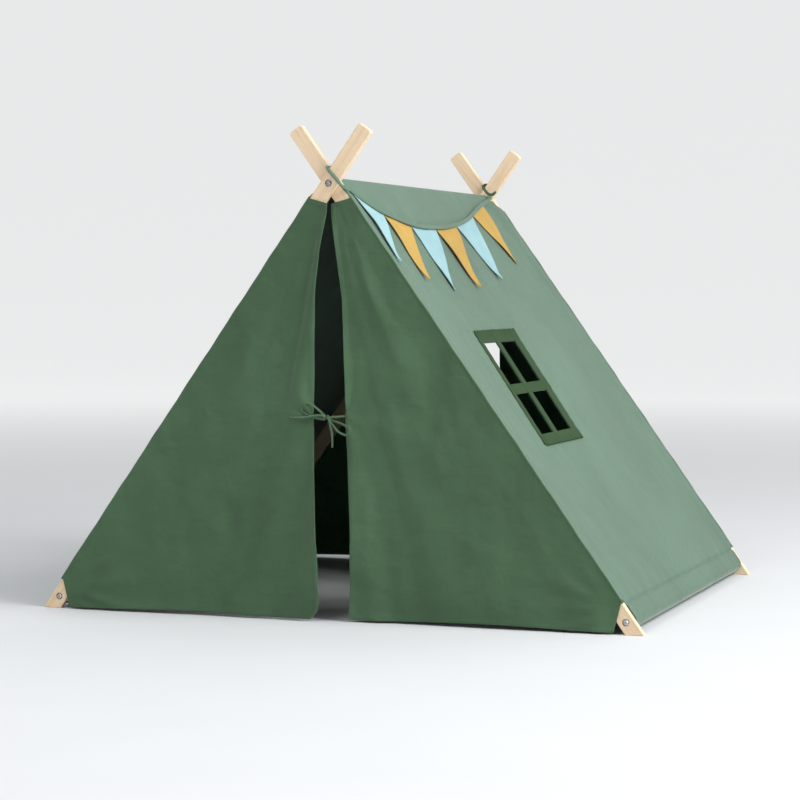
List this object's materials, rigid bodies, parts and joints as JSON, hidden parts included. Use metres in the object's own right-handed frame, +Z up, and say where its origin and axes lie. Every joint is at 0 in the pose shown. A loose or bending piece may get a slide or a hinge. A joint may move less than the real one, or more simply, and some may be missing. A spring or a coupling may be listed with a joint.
{
  "type": "kids a-frame play tent",
  "caption": "Child's A-frame play tent: crossed pine slats hinged on a ridge pole, green cotton cover with tied door flaps, a sewn window and pennant bunting.",
  "frame": {"origin": "middle of the footprint, on the floor", "axes": "+X to the right across the tent, +Y from the front door to the back door along the ridge, +Z up"},
  "size_m": [1.3082, 1.1046, 1.0104],
  "materials": {
    "pine": "raw sanded pine",
    "canvas": "matt green cotton canvas",
    "trim": "matt darker green cotton",
    "aqua": "matt aqua cotton",
    "mustard": "matt mustard cotton",
    "zinc": "zinc plated"
  },
  "bodies": {
    "ridge": {"ridge_pole": "pine", "ridge_strip": "canvas", "ridge_front_bolt": "zinc", "ridge_front_washer": "zinc", "ridge_front_insert": "zinc", "ridge_back_bolt": "zinc", "ridge_back_washer": "zinc", "ridge_back_insert": "zinc"},
    "left_half": {"leg_front_left": "pine", "leg_back_left": "pine", "rail_left": "pine", "foot_front_left_bolt": "zinc", "foot_front_left_washer": "zinc", "foot_front_left_insert": "zinc", "foot_back_left_bolt": "zinc", "foot_back_left_washer": "zinc", "foot_back_left_insert": "zinc", "side_panel_left": "canvas"},
    "right_half": {"leg_back_right": "pine", "leg_front_right": "pine", "rail_right": "pine", "foot_back_right_bolt": "zinc", "foot_back_right_washer": "zinc", "foot_back_right_insert": "zinc", "foot_front_right_bolt": "zinc", "foot_front_right_washer": "zinc", "foot_front_right_insert": "zinc", "side_panel_right": "canvas", "window_trim": "trim", "bunting_tape": "canvas", "pennant_1": "aqua", "pennant_2": "mustard", "pennant_3": "aqua", "pennant_4": "mustard", "pennant_5": "aqua", "pennant_6": "mustard"},
    "door_front_left": {"flap_front_left": "canvas", "tie_front_left": "canvas"},
    "door_front_right": {"flap_front_right": "canvas", "tie_front_right": "canvas"},
    "door_back_left": {"flap_back_left": "canvas", "tie_back_left": "canvas"},
    "door_back_right": {"flap_back_right": "canvas", "tie_back_right": "canvas"}
  },
  "joints": [
    {"name": "left_fold", "type": "hinge", "parent": "ridge", "child": "left_half", "pos_m": [0, 0, 0.892], "axis": [0, -1, 0], "range_deg": [0, 33], "deforming": ["flap_front_left", "flap_front_right", "flap_back_left", "flap_back_right", "tie_front_left", "tie_front_right", "tie_back_left", "tie_back_right"]},
    {"name": "right_fold", "type": "hinge", "parent": "ridge", "child": "right_half", "pos_m": [0, 0, 0.892], "axis": [0, 1, 0], "range_deg": [0, 33]},
    {"name": "door_front_left_swing", "type": "hinge", "parent": "left_half", "child": "door_front_left", "pos_m": [-0.01458, -0.533, 0.90238], "axis": [0.58, 0, 0.8146], "range_deg": [-120, 0]},
    {"name": "door_front_right_swing", "type": "hinge", "parent": "right_half", "child": "door_front_right", "pos_m": [0.01458, -0.5167, 0.90238], "axis": [0.58, 0, -0.8146], "range_deg": [-120, 0]},
    {"name": "door_back_left_swing", "type": "hinge", "parent": "left_half", "child": "door_back_left", "pos_m": [-0.01458, 0.5167, 0.90238], "axis": [-0.58, 0, -0.8146], "range_deg": [-120, 0]},
    {"name": "door_back_right_swing", "type": "hinge", "parent": "right_half", "child": "door_back_right", "pos_m": [0.01458, 0.533, 0.90238], "axis": [-0.58, 0, 0.8146], "range_deg": [-120, 0]}
  ],
  "couplings": [
    {"joint": "right_fold", "follows": "left_fold", "ratio": 1}
  ]
}
